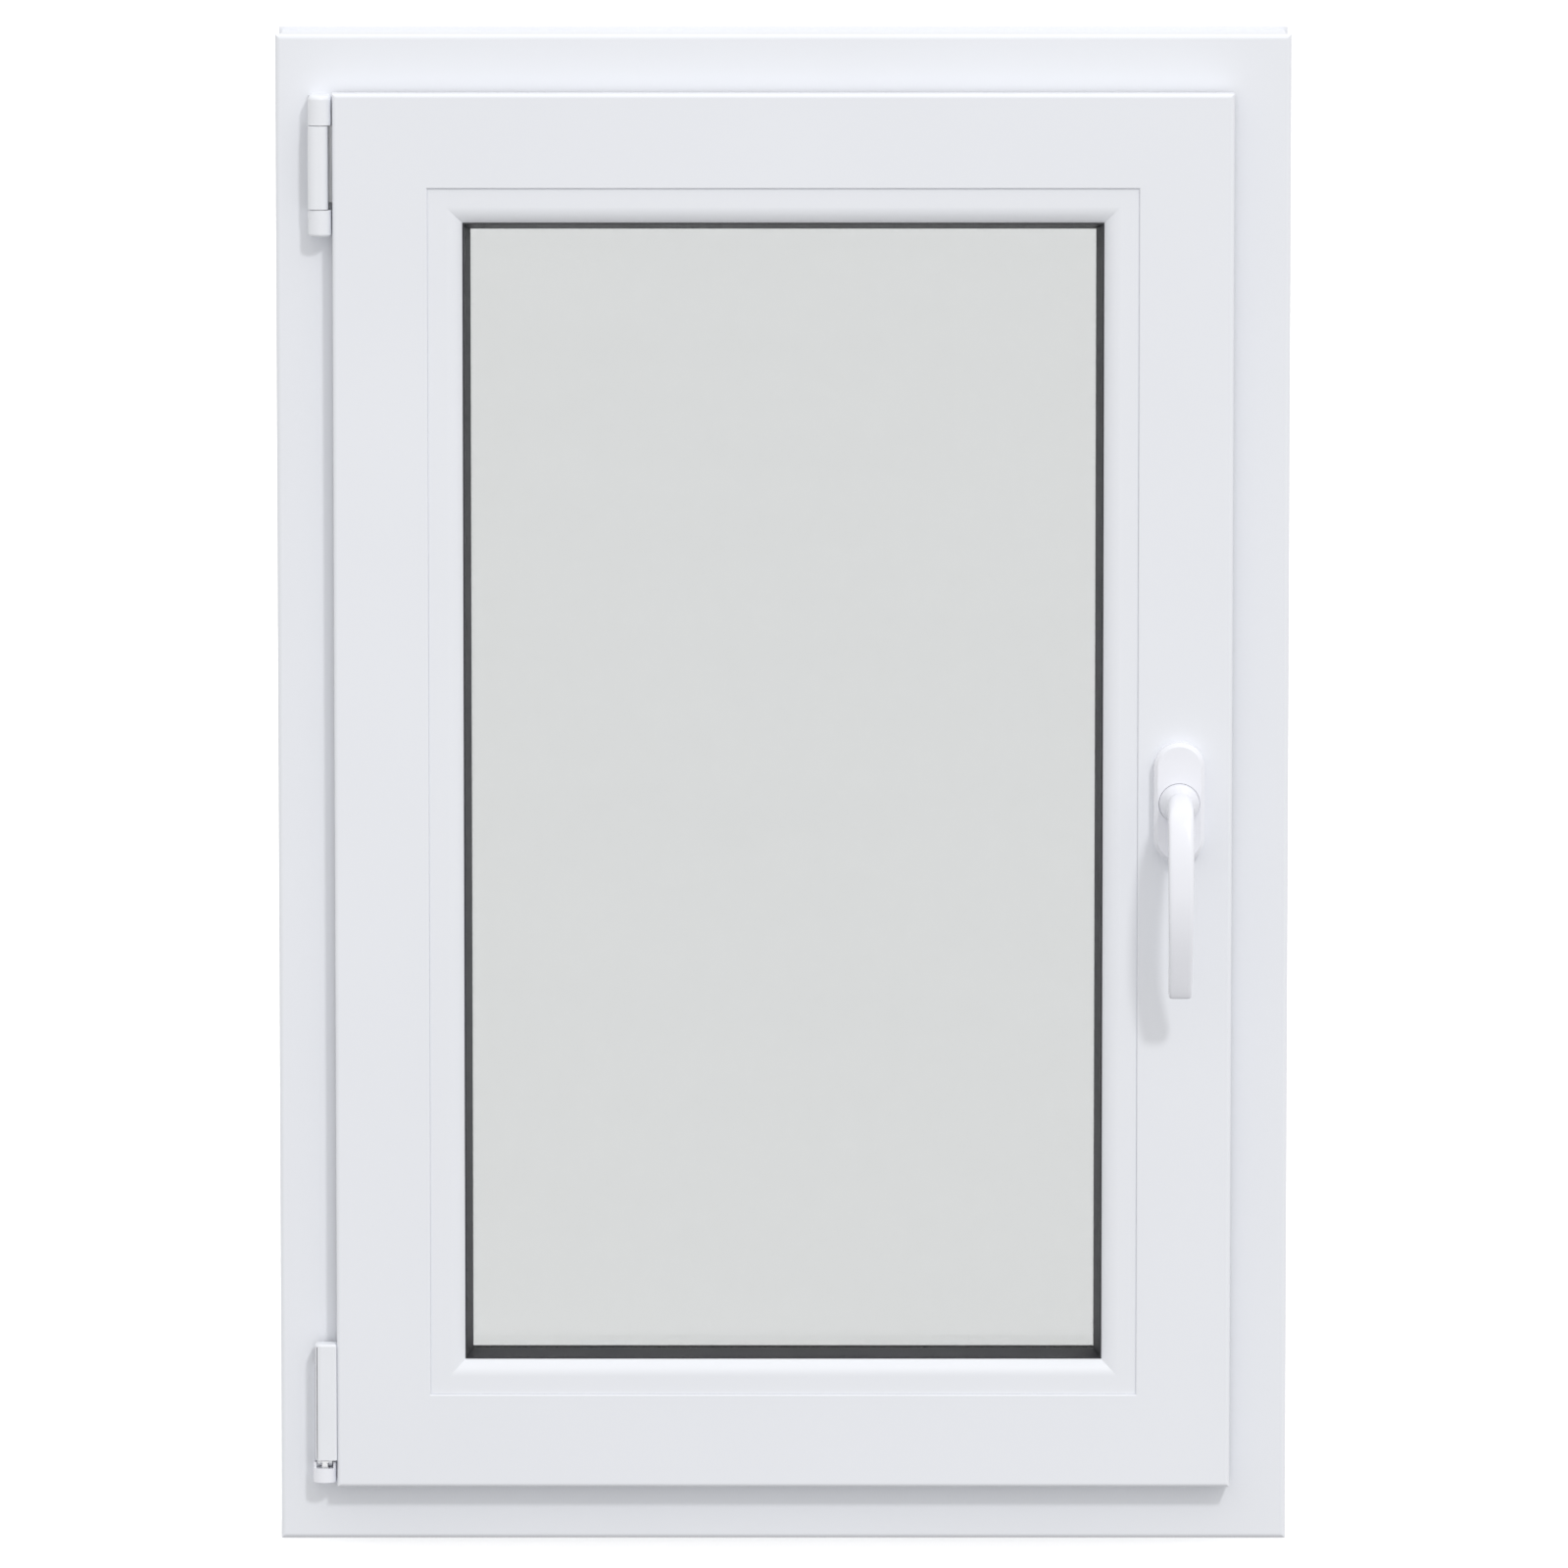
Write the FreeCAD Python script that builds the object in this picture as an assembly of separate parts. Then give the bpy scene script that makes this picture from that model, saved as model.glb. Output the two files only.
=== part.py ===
import FreeCAD, Part
import math
import os
from FreeCAD import Vector

# Tilt-and-turn window in white PVC-U, hinges on the left and handle on the right seen from the room.
# Frame: X across the window, Y from the room to the outside, +Z up, millimetres.
# The origin is the bottom centre of the fixed frame's outside face.
# Sections are drawn as (u, d): u runs from the frame's outer edge towards the glass,
# d runs from the fixed frame's room face towards the outside.

# ---------------------------------------------------------------- driving dimensions
WIDTH = 600.0
HEIGHT = 900.0
FRAME_DEPTH = 70.0
OUTER_GROOVE = 2.0          # depth of the shallow channel round the frame's outer edge
REBATE_FLOOR = 40.0         # u of the fixed frame's rebate floor
FLANGE_TIP = 60.0           # u of the fixed frame's outside flange
FLANGE_FACE = 55.0          # d of the flange's room side

SASH_EDGE = 34.0            # u of the sash's overlap lip
SASH_FACE = -18.0           # d of the sash's room face
SASH_OUTSIDE = 52.0         # d of the sash's outside face
LIP_BACK = -3.0             # d of the back of the overlap lip
SASH_SHELF = 52.0           # u of the sash edge that carries the hardware
BEAD_LINE = 90.0            # u where the sash face meets the glazing bead
BEAD_INNER = 110.5          # u of the bead's inner edge
UPSTAND = 110.0             # u of the sash's outside upstand

HARDWARE_LINE = 10.0        # d of the middle of the hardware groove
GROOVE_WIDTH = 12.0
STEP_WIDTH = 16.4
STEP_FLOOR = 54.6           # u of the step that the faceplates lie on
GROOVE_FLOOR = 63.5

GLASS_EDGE = 95.0           # u of the edge of the glass unit
GLASS_ROOM = 2.0            # d of the unit's room surface
PANE = 4.0
CAVITY = 20.0

HINGE_X = -273.5            # vertical turning axis, 11 mm in front of the frame face
HINGE_D = -11.0
TILT_Z = 48.5               # height of the horizontal tilting axis
PIN_R = 3.0
RUNNING = 0.05              # radial clearance of the hinge pins

HANDLE_X = 234.5
HANDLE_Z = 446.0
LEVER_WIDTH = 15.2
LEVER_TIP_Z = 333.0
COLLAR_R = 12.0
SPINDLE = 7.0
SCREW_PITCH = 43.0          # distance between the two handle screws

PITCH_R = 8.0               # pitch radius of the gearbox pinion
TEETH = 10
HALF_TURN_TRAVEL = PITCH_R * math.pi

STAY_LENGTH = 260.0         # from the turning axis to the stay arm's slide pin
STAY_SLIDE = 9.0            # how far the pin runs along its slot as the sash tilts

CAM_TOP = 44.0              # u of the locking cams' heads
LOCK_CAMS_Z = (200.0, 690.0)
TOP_CAM_X = 120.0
BOTTOM_CAM_X = -60.0

ROD_TOP = 54.9              # u of the drive rods, just under the faceplates
ROD_THICK = 1.5
ROD_WIDTH = 10.0
CORNER_LEG = 90.2

FIXING_D = 20.0             # d of the frame fixing holes
FIXING_Z = (130.0, 770.0)
FIXING_R = 3.25

MID_Z = HEIGHT / 2


# ---------------------------------------------------------------- helpers
def at(d):
    """Y of a depth d measured from the frame's room face."""
    return d - FRAME_DEPTH


def save(name, *solids):
    """Write one piece, or one group of like pieces, to its own STEP file."""
    shape = solids[0] if len(solids) == 1 else Part.makeCompound(list(solids))
    shape.exportStep("parts/" + name + ".step")


def box(x0, x1, d0, d1, z0, z1):
    return Part.makeBox(x1 - x0, d1 - d0, z1 - z0, Vector(x0, at(d0), z0))


def rod_y(radius, x, z, d0, d1):
    """Cylinder along the depth."""
    return Part.makeCylinder(radius, d1 - d0, Vector(x, at(d0), z), Vector(0, 1, 0))


def rod_z(radius, x, d, z0, z1):
    return Part.makeCylinder(radius, z1 - z0, Vector(x, at(d), z0), Vector(0, 0, 1))


def rod_x(radius, d, z, x0, x1):
    return Part.makeCylinder(radius, x1 - x0, Vector(x0, at(d), z), Vector(1, 0, 0))


def joined(first, *others):
    return first.fuse(list(others)).removeSplitter()


def rounded_wire(corners, place):
    """Closed wire through (a, b) or (a, b, radius) corners; place makes a 3-D point of (a, b)."""
    flat = [Vector(c[0], c[1], 0) for c in corners]
    radii = [c[2] if len(c) > 2 else 0.0 for c in corners]
    starts, middles, ends = [], [], []
    for i, here in enumerate(flat):
        back = (flat[i - 1] - here).normalize()
        ahead = (flat[(i + 1) % len(flat)] - here).normalize()
        half = back.getAngle(ahead) / 2
        reach = radii[i] / math.tan(half)
        inward = (back + ahead).normalize() if radii[i] else Vector(0, 0, 0)
        starts.append(here + back * reach)
        ends.append(here + ahead * reach)
        middles.append(here + inward * (radii[i] / math.sin(half) - radii[i]))
    edges = []
    for i in range(len(flat)):
        first, middle, last = (place(p.x, p.y) for p in (starts[i], middles[i], ends[i]))
        if radii[i]:
            edges.append(Part.Arc(first, middle, last).toShape())
        following = starts[(i + 1) % len(flat)]
        edges.append(Part.makeLine(last, place(following.x, following.y)))
    return Part.Wire(edges)


def plate(corners, z0, z1):
    """Flat plate from an (x, d) outline."""
    wire = rounded_wire(corners, lambda x, d: Vector(x, at(d), z0))
    return Part.Face(wire).extrude(Vector(0, 0, z1 - z0))


def front_plate(corners, d0, d1):
    """Plate parallel to the window's face from an (x, z) outline."""
    wire = rounded_wire(corners, lambda x, z: Vector(x, at(d0), z))
    return Part.Face(wire).extrude(Vector(0, d1 - d0, 0))


def rectangle(u0, d0, u1, d1):
    return [(u0, d0), (u1, d0), (u1, d1), (u0, d1)]


def bar(section, length, holes=()):
    """Straight bar along X with its (u, d) section standing on Z = u, less its chambers."""
    def prism(corners):
        wire = rounded_wire(corners, lambda u, d: Vector(-length / 2, at(d), u))
        return Part.Face(wire).extrude(Vector(length, 0, 0))

    solid = prism(section)
    chambers = [prism(hole) for hole in holes]
    return solid.cut(chambers) if chambers else solid


SIDES = {
    "bottom": (WIDTH, 0, Vector(0, 0, 0)),
    "top": (WIDTH, 180, Vector(0, 0, HEIGHT)),
    "left": (HEIGHT, 90, Vector(-WIDTH / 2, 0, MID_Z)),
    "right": (HEIGHT, -90, Vector(WIDTH / 2, 0, MID_Z)),
}


def to_side(solid, side):
    """Turn a bar made at the bottom so that it lies along another side of the window."""
    turned = solid.copy()
    turned.rotate(Vector(0, 0, 0), Vector(0, 1, 0), SIDES[side][1])
    turned.translate(SIDES[side][2])
    return turned


def mitred(side, section, holes=()):
    """One length of profile with both ends cut at 45 degrees to meet its neighbours."""
    length = SIDES[side][0]
    deep = 130.0
    corners = [(-length / 2, 0), (length / 2, 0), (length / 2 - deep, deep), (-length / 2 + deep, deep)]
    wedge = front_plate(corners, -40, FRAME_DEPTH + 10)
    return to_side(bar(section, length, holes).common(wedge), side)


def square_cut(side, section, trim, holes=()):
    """One length with square ends, trimmed back from both corners of the window."""
    return to_side(bar(section, SIDES[side][0] - 2 * trim, holes), side)


def all_sides(maker, *args):
    return [maker(side, *args) for side in SIDES]


def on_edge(side, along, u0, u1, radius):
    """Cylinder on the hardware line of one side, from u0 to u1 towards the glass."""
    upright = rod_z(radius, along, HARDWARE_LINE, u0, u1)
    return to_side(upright, side)


def edge_block(side, a0, a1, d0, d1, u0, u1):
    """Block along one side: a runs along the side, as X does along the bottom."""
    return to_side(box(a0, a1, d0, d1, u0, u1), side)


# ---------------------------------------------------------------- fixed frame
FRAME_SECTION = [
    (0, 0, 3.0),
    (REBATE_FLOOR, 0, 1.0),
    (REBATE_FLOOR, 24),
    (REBATE_FLOOR - 3, 28),
    (REBATE_FLOOR - 3, FLANGE_FACE),
    (FLANGE_TIP, FLANGE_FACE, 0.8),
    (FLANGE_TIP, 60, 1.0),
    (FLANGE_TIP - 4, FRAME_DEPTH, 1.0),
    (0, FRAME_DEPTH),
    (0, FRAME_DEPTH - 4),
    (OUTER_GROOVE, FRAME_DEPTH - 4),
    (OUTER_GROOVE, 6),
    (0, 6),
]
FRAME_CHAMBERS = [
    rectangle(4.8, 2.8, 37.2, 9.0),
    rectangle(5.0, 11.0, 34.0, 41.0),
    rectangle(4.8, 43.0, 34.0, 67.2),
    [(37, 58), (57.2, 58), (57.2, 60.5), (54.5, 67.2), (37, 67.2)],
]
FRAME_STEEL = rectangle(5.6, 11.6, 33.4, 40.4)
FRAME_STEEL_INSIDE = rectangle(7.1, 13.1, 31.9, 38.9)
STEEL_TRIM = 46.0
DRAIN_X = (-170.0, 170.0)


def fixing_holes(shape, side):
    """Bore the two frame fixing holes through a jamb and its steel."""
    for z in FIXING_Z:
        x = -WIDTH / 2 if side == "left" else WIDTH / 2 - REBATE_FLOOR - 1
        shape = shape.cut(rod_x(FIXING_R, FIXING_D, z, x, x + REBATE_FLOOR + 1))
    return shape


def make_frame():
    head = mitred("top", FRAME_SECTION, FRAME_CHAMBERS)
    sill = mitred("bottom", FRAME_SECTION, FRAME_CHAMBERS)
    for x in DRAIN_X:
        # a slot in the rebate floor drains into the rear chamber, and a lower slot lets it out
        sill = sill.cut(box(x - 14, x + 14, 46, 51, 30, 40))
        sill = sill.cut(box(x - 12, x + 12, 60, 75, 9, 14))
    save("frame_head", head)
    save("frame_sill", sill)
    jambs = {"left": "frame_jamb_hinge", "right": "frame_jamb_lock"}
    for side, name in jambs.items():
        jamb = mitred(side, FRAME_SECTION, FRAME_CHAMBERS)
        save(name, fixing_holes(jamb, side))

    steels = []
    for side in SIDES:
        steel = square_cut(side, FRAME_STEEL, STEEL_TRIM, [FRAME_STEEL_INSIDE])
        steels.append(fixing_holes(steel, side) if side in jambs else steel)
    save("frame_reinforcement", *steels)

    gasket = [(54, FLANGE_FACE), (59, FLANGE_FACE), (58.2, 52.6, 0.5), (55, 52.6, 0.5)]
    save("frame_gasket", *all_sides(mitred, gasket))

    caps = []
    for x in DRAIN_X:
        hood = box(x - 19, x + 19, FRAME_DEPTH, FRAME_DEPTH + 4, 5, 18)
        edges = [e for e in hood.Edges if e.CenterOfMass.y > 3.9]
        hood = hood.makeChamfer(1.8, edges)
        caps.append(hood.cut(box(x - 15, x + 15, FRAME_DEPTH - 1, FRAME_DEPTH + 2, 3, 14)))
    save("drain_caps", *caps)


# ---------------------------------------------------------------- sash and glazing
HALF_GROOVE = GROOVE_WIDTH / 2 + 0.2
HALF_STEP = STEP_WIDTH / 2
SASH_SECTION = [
    (SASH_EDGE, SASH_FACE, 2.5),
    (BEAD_LINE, SASH_FACE, 1.0),
    (BEAD_LINE, -12),
    (BEAD_LINE - 3, -12),
    (BEAD_LINE - 3, -9),
    (BEAD_LINE, -9),
    (BEAD_LINE, 34),
    (UPSTAND, 34, 0.8),
    (UPSTAND, 42, 1.0),
    (UPSTAND - 5, SASH_OUTSIDE, 1.0),
    (SASH_SHELF, SASH_OUTSIDE, 1.0),
    (SASH_SHELF, HARDWARE_LINE + HALF_STEP),
    (STEP_FLOOR, HARDWARE_LINE + HALF_STEP),
    (STEP_FLOOR, HARDWARE_LINE + HALF_GROOVE),
    (GROOVE_FLOOR, HARDWARE_LINE + HALF_GROOVE),
    (GROOVE_FLOOR, HARDWARE_LINE - HALF_GROOVE),
    (STEP_FLOOR, HARDWARE_LINE - HALF_GROOVE),
    (STEP_FLOOR, HARDWARE_LINE - HALF_STEP),
    (SASH_SHELF, HARDWARE_LINE - HALF_STEP),
    (SASH_SHELF, LIP_BACK),
    (SASH_EDGE, LIP_BACK, 0.8),
]
SASH_CHAMBERS = [
    rectangle(37.0, -15.0, 84.5, -6.0),
    rectangle(66.0, -4.0, 87.2, 18.2),
    rectangle(55.0, 20.4, 87.2, 40.0),
    rectangle(55.0, 42.0, 87.2, 49.2),
    [(89.2, 36.8), (107.2, 36.8), (107.2, 41.5), (103.3, 49.2), (89.2, 49.2)],
]
SASH_STEEL = rectangle(55.6, 21.0, 86.6, 39.4)
SASH_STEEL_INSIDE = rectangle(57.1, 22.5, 85.1, 37.9)
BEAD_SECTION = [
    (BEAD_LINE, -16.6, 0.4),
    (106.4, -16.6, 12.4),
    (BEAD_INNER, -11.6, 1.0),
    (BEAD_INNER, -1.5),
    (BEAD_LINE, -1.5),
    (BEAD_LINE, -9.3),
    (BEAD_LINE - 2.7, -9.3),
    (BEAD_LINE - 2.7, -11.7),
    (BEAD_LINE, -11.7),
]
BEAD_CHAMBER = rectangle(92.5, -13.8, 106.0, -4.0)
ROOM_GASKET = [
    (104, -1.5),
    (BEAD_INNER + 0.2, -1.5),
    (BEAD_INNER + 0.2, -11.2),
    (111.3, -11.4, 0.25),
    (115.0, 0.6, 0.4),
    (115.0, GLASS_ROOM),
    (104, GLASS_ROOM),
]
GLASS_OUTSIDE = GLASS_ROOM + 2 * PANE + CAVITY
OUTSIDE_GASKET = [
    (103, GLASS_OUTSIDE),
    (112.4, GLASS_OUTSIDE),
    (112.0, 31.6, 0.4),
    (110.4, 34),
    (103, 34),
]
SASH_GASKET = [(35.5, LIP_BACK), (39.0, LIP_BACK), (38.4, LIP_BACK + 1.2), (36.1, LIP_BACK + 1.2)]
SPINDLE_HOLE_R = 6.0
GEARBOX_HALF = 32.0
GEARBOX_DEEP = 80.5         # u of the gearbox's back


def make_sash():
    save("sash_rail_top", mitred("top", SASH_SECTION, SASH_CHAMBERS))
    save("sash_rail_bottom", mitred("bottom", SASH_SECTION, SASH_CHAMBERS))
    save("sash_stile_hinge", mitred("left", SASH_SECTION, SASH_CHAMBERS))
    stile = mitred("right", SASH_SECTION, SASH_CHAMBERS)
    pocket = box(WIDTH / 2 - GEARBOX_DEEP - 0.5, WIDTH / 2 - STEP_FLOOR,
                 HARDWARE_LINE - HALF_GROOVE, HARDWARE_LINE + HALF_GROOVE,
                 HANDLE_Z - GEARBOX_HALF - 2, HANDLE_Z + GEARBOX_HALF + 2)
    drilled = [pocket, rod_y(SPINDLE_HOLE_R, HANDLE_X, HANDLE_Z, SASH_FACE - 1, 5)]
    for offset in (-SCREW_PITCH / 2, SCREW_PITCH / 2):
        drilled.append(rod_y(2.75, HANDLE_X, HANDLE_Z + offset, SASH_FACE - 1, 5))
    save("sash_stile_lock", stile.cut(drilled))

    sash_trim = BEAD_LINE + 6
    save("sash_reinforcement", *all_sides(square_cut, SASH_STEEL, sash_trim, [SASH_STEEL_INSIDE]))

    gaskets = []
    for side in SIDES:
        length = mitred(side, SASH_GASKET)
        if side == "left":
            # stopped short of both hinges
            length = length.common(box(-WIDTH / 2, 0, LIP_BACK - 1, 0, 121, 796))
        gaskets.append(length)
    save("sash_gasket", *gaskets)

    names = {"top": "bead_top", "bottom": "bead_bottom", "left": "bead_left", "right": "bead_right"}
    for side, name in names.items():
        save(name, mitred(side, BEAD_SECTION, [BEAD_CHAMBER]))
    save("glass_gasket_room", *all_sides(mitred, ROOM_GASKET))
    save("glass_gasket_outside", *all_sides(mitred, OUTSIDE_GASKET))


def glass_frame(u, u_inner, d0, d1):
    """Box, or a ring when u_inner is given, centred on the window."""
    half = WIDTH / 2
    solid = box(u - half, half - u, d0, d1, u, HEIGHT - u)
    if u_inner:
        solid = solid.cut(box(u_inner - half, half - u_inner, d0, d1, u_inner, HEIGHT - u_inner))
    return solid


def make_glass():
    inner_face = GLASS_ROOM + PANE
    outer_face = inner_face + CAVITY
    save("glass_pane_room", glass_frame(GLASS_EDGE, None, GLASS_ROOM, inner_face))
    save("glass_pane_outside", glass_frame(GLASS_EDGE, None, outer_face, outer_face + PANE))
    save("glass_spacer", glass_frame(GLASS_EDGE + 3, GLASS_EDGE + 10, inner_face, outer_face))
    save("glass_edge_seal", glass_frame(GLASS_EDGE, GLASS_EDGE + 3, inner_face, outer_face))
    packers = []
    for side in SIDES:
        half = SIDES[side][0] / 2
        for sign in (-1, 1):
            middle = sign * (half - GLASS_EDGE - 80)
            packers.append(edge_block(side, middle - 50, middle + 50, GLASS_ROOM, GLASS_OUTSIDE,
                                      BEAD_LINE, GLASS_EDGE))
    save("glazing_packers", *packers)


# ---------------------------------------------------------------- hinges
CAP_R = 7.0
BEARING_TOP = 45.0
STAY_LOW = (782.5, 797.0)
STAY_HIGH = (847.5, 864.0)
ARM_BARREL = (797.6, 846.9)
ARM_PLATE = (851.5, 854.0)
PLATE_THICK = 1.5
BEARING_SCREWS = ((-276.0, 66.0), (-276.0, 92.0), (-276.8, 808.0), (-276.8, 836.0))


def knuckle(radius, z0, z1):
    """D-shaped block: round about the turning axis in front, flat back on the frame face."""
    back = box(HINGE_X - radius, HINGE_X + radius, HINGE_D, 0, z0, z1)
    return joined(rod_z(radius, HINGE_X, HINGE_D, z0, z1), back)


def countersunk(shape):
    """Sink the bearing screws' holes into a back plate."""
    for x, z in BEARING_SCREWS:
        shape = shape.cut(bearing_screw(x, z, 0.05))
    return shape


def bearing_screw(x, z, extra=0.0):
    head = Part.makeCone(3.0 + extra, 1.6 + extra, PLATE_THICK,
                         Vector(x, at(-PLATE_THICK), z), Vector(0, 1, 0))
    return joined(head, rod_y(1.6 + extra, x, z, 0, 22))


def leaf_screws():
    """Screws that hold the hinge leaf to the hinge stile's edge."""
    return [edge_screw("left", MID_Z - z, SASH_SHELF - 1.2) for z in (64.0, 104.0)]


def make_corner_hinge():
    bearing = knuckle(CAP_R, 36.5, BEARING_TOP)
    ears = rod_z(CAP_R, HINGE_X, HINGE_D, BEARING_TOP, 48.6)
    ears = ears.cut(rod_z(CAP_R - 0.9, HINGE_X, HINGE_D, BEARING_TOP, 48.6))
    ears = ears.common(box(HINGE_X - 8, HINGE_X + 8, HINGE_D - 3.5, HINGE_D + 3.5, BEARING_TOP, 48.6))
    plate_back = box(HINGE_X - 6.5, HINGE_X + 1.5, -PLATE_THICK, 0, 36.5, 106)
    bearing = joined(bearing, plate_back, *ears.Solids)
    bearing = bearing.cut(rod_z(PIN_R + RUNNING, HINGE_X, HINGE_D, 38, BEARING_TOP + 1))
    save("corner_bearing", countersunk(bearing))

    tongue = box(HINGE_X - 1.9, HINGE_X + 1.9, HINGE_D - 2.9, HINGE_D + 2.9, BEARING_TOP, TILT_Z)
    dome = rod_x(2.9, HINGE_D, TILT_Z, HINGE_X - 1.9, HINGE_X + 1.9)
    tongue = tongue.common(rod_z(PIN_R, HINGE_X, HINGE_D, BEARING_TOP, TILT_Z))
    pin = joined(rod_z(PIN_R, HINGE_X, HINGE_D, 38.3, BEARING_TOP), tongue, dome)
    save("corner_pivot_pin", pin.cut(rod_x(1.5, HINGE_D, TILT_Z, HINGE_X - 3, HINGE_X + 3)))
    save("tilt_cross_pin", rod_x(1.5, HINGE_D, TILT_Z, HINGE_X - 4.3, HINGE_X + 4.3))

    leaf = box(HINGE_X - 4, HINGE_X + 5.7, HINGE_D - 5, HINGE_D + 5, 52.0, 116)
    parts = []
    for x0, x1 in ((-4.3, -2.3), (2.3, 4.3)):
        parts.append(rod_x(3.0, HINGE_D, TILT_Z, HINGE_X + x0, HINGE_X + x1))
        parts.append(box(HINGE_X + x0, HINGE_X + x1, HINGE_D - 3, HINGE_D + 3, TILT_Z, 53))
    edge_x = SASH_SHELF - WIDTH / 2
    parts.append(box(HINGE_X + 4.5, HINGE_X + 6.2, -8, LIP_BACK + 1.3, 54, 114))
    parts.append(box(HINGE_X + 4.5, edge_x, LIP_BACK, LIP_BACK + 1.3, 54, 114))
    parts.append(box(edge_x - 1.2, edge_x, LIP_BACK, 17, 54, 114))
    leaf = joined(leaf, *parts)
    leaf = leaf.cut(rod_x(1.5 + RUNNING, HINGE_D, TILT_Z, HINGE_X - 7, HINGE_X + 7))
    save("sash_hinge_leaf", leaf.cut(leaf_screws()))

    outline = [(HINGE_X - 5.5, -18, 4.0), (HINGE_X + 7.4, -18, 1.5), (HINGE_X + 7.4, -4.5),
               (HINGE_X - 5.5, -4.5, 1.0)]
    cap = plate(outline, 50, 120)
    top_edges = [e for e in cap.Edges if e.BoundBox.ZMin > 119.9 and e.CenterOfMass.y < at(-4.6)]
    cap = cap.makeFillet(1.6, top_edges)
    save("sash_hinge_cap", cap.cut(box(HINGE_X - 4.6, HINGE_X + 6.3, -16.9, -4, 49, 118.4)))


def make_stay():
    spine = box(HINGE_X - CAP_R, HINGE_X + 1.0, -PLATE_THICK, 0, STAY_LOW[0], STAY_HIGH[1])
    bearing = joined(spine, knuckle(5.9, *STAY_LOW), knuckle(5.9, *STAY_HIGH))
    bearing = bearing.cut(rod_z(PIN_R, HINGE_X, HINGE_D, 700, HEIGHT))
    save("stay_bearing", countersunk(bearing))
    save("stay_bearing_pin", rod_z(PIN_R, HINGE_X, HINGE_D, STAY_LOW[0] + 0.5, STAY_HIGH[1] - 0.5))

    caps = []
    for low, high, rounded_at in ((781.4, 797.2, 781.4), (847.3, 865.0, 865.0)):
        cap = knuckle(CAP_R, low, high)
        ends = [e for e in cap.Edges
                if abs(e.BoundBox.ZMin - rounded_at) < 0.1 and abs(e.BoundBox.ZMax - rounded_at) < 0.1
                and e.CenterOfMass.y < at(-1)]
        cap = cap.makeFillet(3.0 if rounded_at > MID_Z + 400 else 2.0, ends)
        inside = knuckle(5.95, max(low, STAY_LOW[0]) - (5 if low > 800 else 0),
                         min(high, STAY_HIGH[1]) + (5 if low < 800 else 0))
        caps.append(cap.cut([inside, spine]))
    save("stay_bearing_caps", *caps)

    # the arm's barrel turns on the pin; a crank behind the sash lip carries it up to the top rebate
    low, high = ARM_BARREL
    leg_d = (LIP_BACK + 0.3, -PLATE_THICK)
    barrel = rod_z(5.2, HINGE_X, HINGE_D, low, high)
    web = box(HINGE_X + 2.6, HINGE_X + 4.8, HINGE_D, leg_d[1], 801, high - 0.5)
    lower_leg = box(HINGE_X + 2.6, -250, *leg_d, 801, high - 0.5)
    upper_leg = box(HINGE_X + 8.2, -250, *leg_d, high - 1, ARM_PLATE[1])
    outline = [(-256.5, leg_d[0]), (-246, leg_d[0]), (-238, 3), (HINGE_X + STAY_LENGTH + 8, 3, 6.9),
               (HINGE_X + STAY_LENGTH + 8, 17, 6.9), (-256.5, 17, 4)]
    arm = joined(barrel, web, lower_leg, upper_leg, plate(outline, *ARM_PLATE))
    arm = arm.cut(rod_z(PIN_R + RUNNING, HINGE_X, HINGE_D, low - 1, high + 1))
    pin_x = HINGE_X + STAY_LENGTH
    save("stay_arm", arm.cut(rod_z(3.0, pin_x, HARDWARE_LINE, 850, 856)))
    save("stay_slide_pin", rod_z(3.0, pin_x, HARDWARE_LINE, 843.4, ARM_PLATE[1]))

    # cover clipped round the barrel, open at the back where the arm leaves it
    outline = [(HINGE_X - CAP_R, -18, 5), (HINGE_X + 5.0, -18, 5), (HINGE_X + 5.0, -7), (HINGE_X - CAP_R, -7, 3)]
    cover = plate(outline, low, high)
    cover = cover.cut(rod_z(5.25, HINGE_X, HINGE_D, low - 1, high + 1))
    cover = cover.cut(box(HINGE_X - 1, HINGE_X + 6, HINGE_D, 0, low - 1, high + 1))
    save("stay_arm_cover", cover)

    save("bearing_screws", *[bearing_screw(x, z) for x, z in BEARING_SCREWS])


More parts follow.
